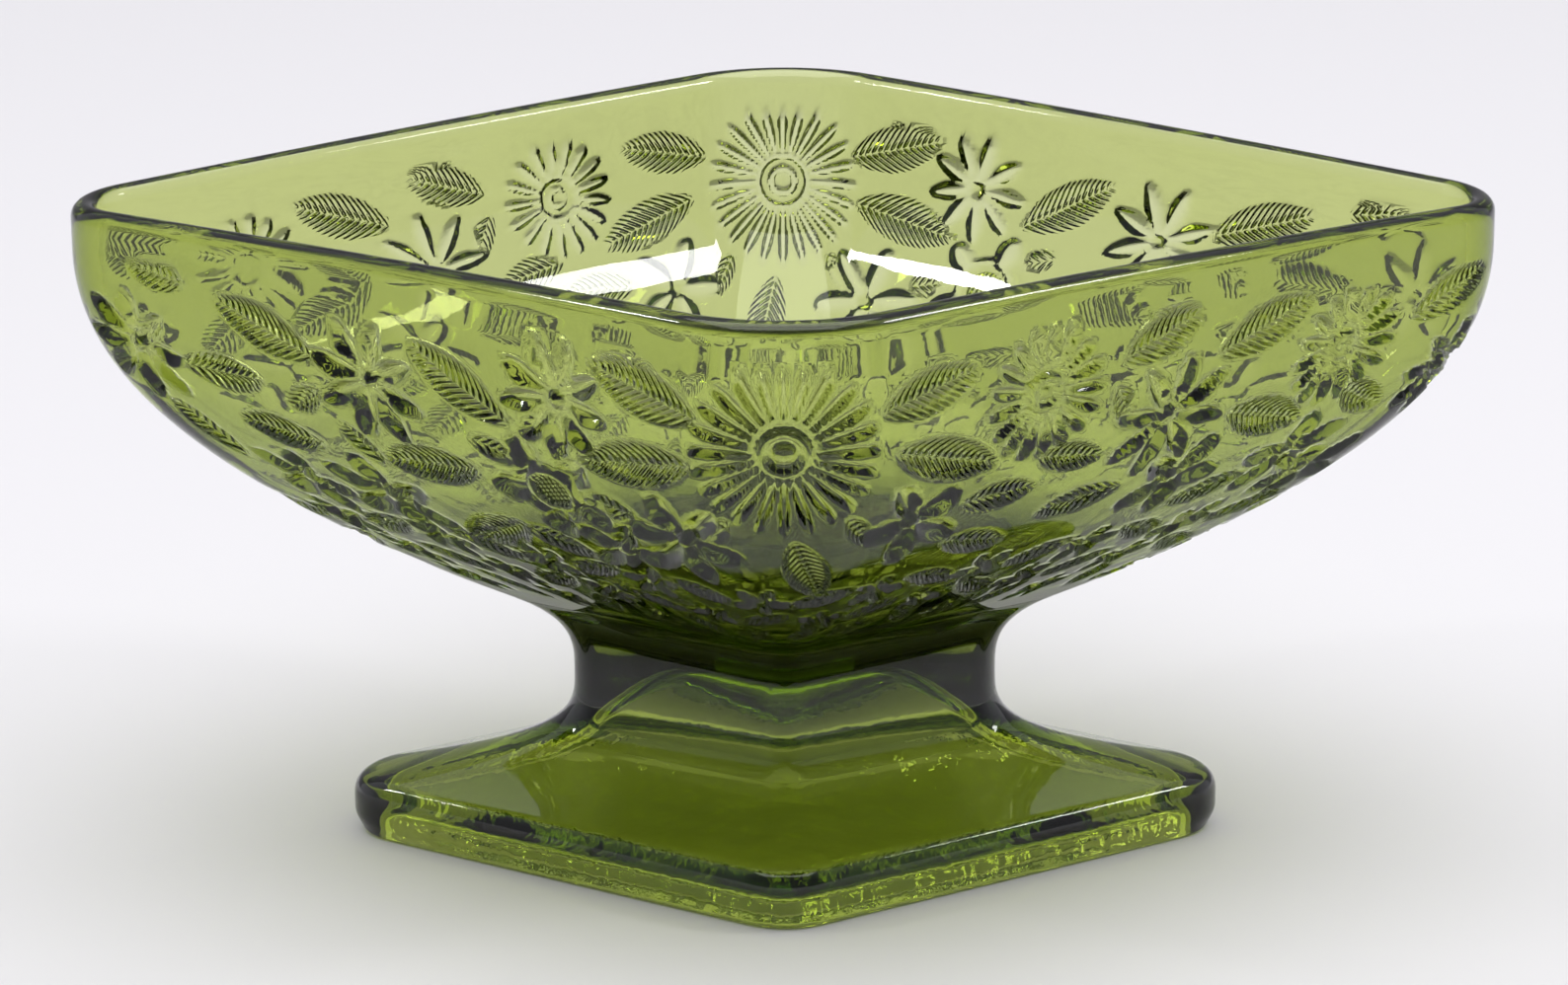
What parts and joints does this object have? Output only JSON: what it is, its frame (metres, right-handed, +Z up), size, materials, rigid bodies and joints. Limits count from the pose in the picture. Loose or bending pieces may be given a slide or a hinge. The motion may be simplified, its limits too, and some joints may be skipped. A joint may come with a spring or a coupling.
{
  "type": "footed glass dish",
  "caption": "Diamond-shaped pressed-glass candy dish: a deep bowl with softly rounded rim corners on a short waisted stem and a sloping diamond foot.",
  "frame": {"origin": "centre of the foot's resting face, on the surface that the dish stands on", "axes": "+Z up out of the bowl's mouth, +X along the long diagonal to a sharp tip, +Y along the short diagonal to a blunt corner"},
  "size_m": [0.203, 0.158, 0.0968],
  "materials": {
    "green_glass": "clear olive green pressed glass, fire polished"
  },
  "bodies": {
    "root": {"bowl": "green_glass", "stem": "green_glass", "foot": "green_glass"}
  },
  "joints": []
}
